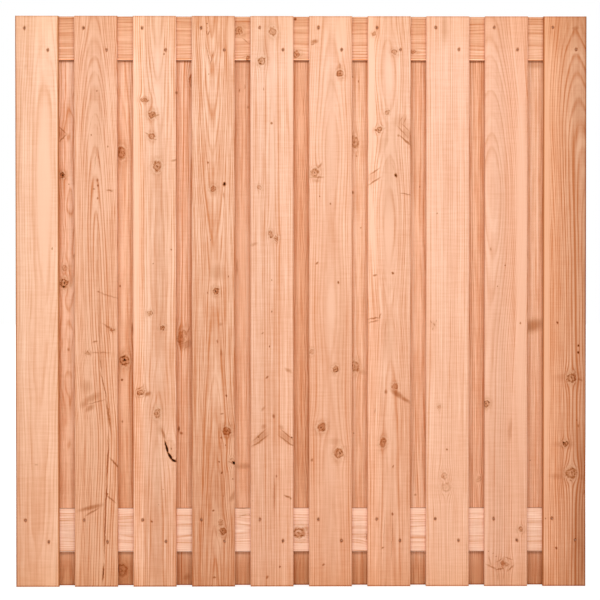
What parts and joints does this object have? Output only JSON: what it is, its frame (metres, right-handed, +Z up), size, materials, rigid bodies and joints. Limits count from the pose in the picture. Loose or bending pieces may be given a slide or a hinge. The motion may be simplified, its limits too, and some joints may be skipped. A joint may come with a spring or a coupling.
{
  "type": "wooden fence panel",
  "caption": "Square timber fence panel: upright planed boards nailed to both faces of flat cross rails, so that a board behind closes each gap in front.",
  "frame": {"origin": "middle of the panel's foot, on the ground line, half way through its depth", "axes": "+X along the fence, +Y from the front boards towards the back boards, +Z up along the boards"},
  "size_m": [1.8, 0.048, 1.8],
  "materials": {
    "front_board_wood": "planed, untreated",
    "back_board_wood": "planed, untreated",
    "rail_wood": "planed, untreated",
    "nail_steel": "dull"
  },
  "bodies": {
    "root": {"front_board_01": "front_board_wood", "front_board_02": "front_board_wood", "front_board_03": "front_board_wood", "front_board_04": "front_board_wood", "front_board_05": "front_board_wood", "front_board_06": "front_board_wood", "front_board_07": "front_board_wood", "front_board_08": "front_board_wood", "front_board_09": "front_board_wood", "front_board_10": "front_board_wood", "back_board_01": "back_board_wood", "back_board_02": "back_board_wood", "back_board_03": "back_board_wood", "back_board_04": "back_board_wood", "back_board_05": "back_board_wood", "back_board_06": "back_board_wood", "back_board_07": "back_board_wood", "back_board_08": "back_board_wood", "back_board_09": "back_board_wood", "top_rail": "rail_wood", "bottom_rail": "rail_wood", "front_nails_top_rail": "nail_steel", "front_nails_bottom_rail": "nail_steel", "back_nails_top_rail": "nail_steel", "back_nails_bottom_rail": "nail_steel"}
  },
  "joints": []
}
